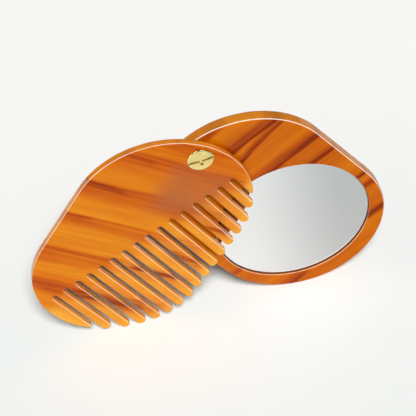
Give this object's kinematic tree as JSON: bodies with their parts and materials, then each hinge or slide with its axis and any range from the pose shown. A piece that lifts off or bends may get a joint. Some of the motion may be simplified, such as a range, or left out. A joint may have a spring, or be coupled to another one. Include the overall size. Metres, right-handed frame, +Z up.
{
  "type": "pocket mirror with comb",
  "caption": "Folding pocket mirror with comb: a flat round-ended comb plate with slanted teeth swivels on a slotted screw in front of a matching plate with a round inset mirror.",
  "frame": {"origin": "bottom of the open object, straight below the pivot and half way through the depth", "axes": "+X to the right seen from the comb's side, +Y backwards from the comb to the mirror plate, +Z up"},
  "size_m": [0.1341, 0.0088, 0.0924],
  "materials": {
    "comb_acetate": "polished tortoiseshell acetate, amber with rust-brown streaks",
    "plate_acetate": "polished tortoiseshell acetate, amber with rust-brown streaks",
    "mirror_glass": "clear float glass with a ground edge, silvered behind",
    "silvering": "silver coat with grey backing paint",
    "foam_adhesive": "white double-sided foam pad",
    "screw_brass": "turned and polished brass",
    "nylon": "natural nylon",
    "spring_steel": "bright spring steel"
  },
  "bodies": {
    "mirror": {"mirror_plate": "plate_acetate", "mirror_glass": "mirror_glass", "mirror_silvering": "silvering", "adhesive_pad": "foam_adhesive", "pivot_barrel": "screw_brass", "pivot_screw": "screw_brass", "spacer_washer": "nylon", "spring_washer": "spring_steel"},
    "comb": {"comb_plate": "comb_acetate"}
  },
  "joints": [
    {"name": "comb_swivel", "type": "hinge", "parent": "mirror", "child": "comb", "pos_m": [0, 0, 0.08142], "axis": [0, -1, 0], "continuous": true}
  ]
}
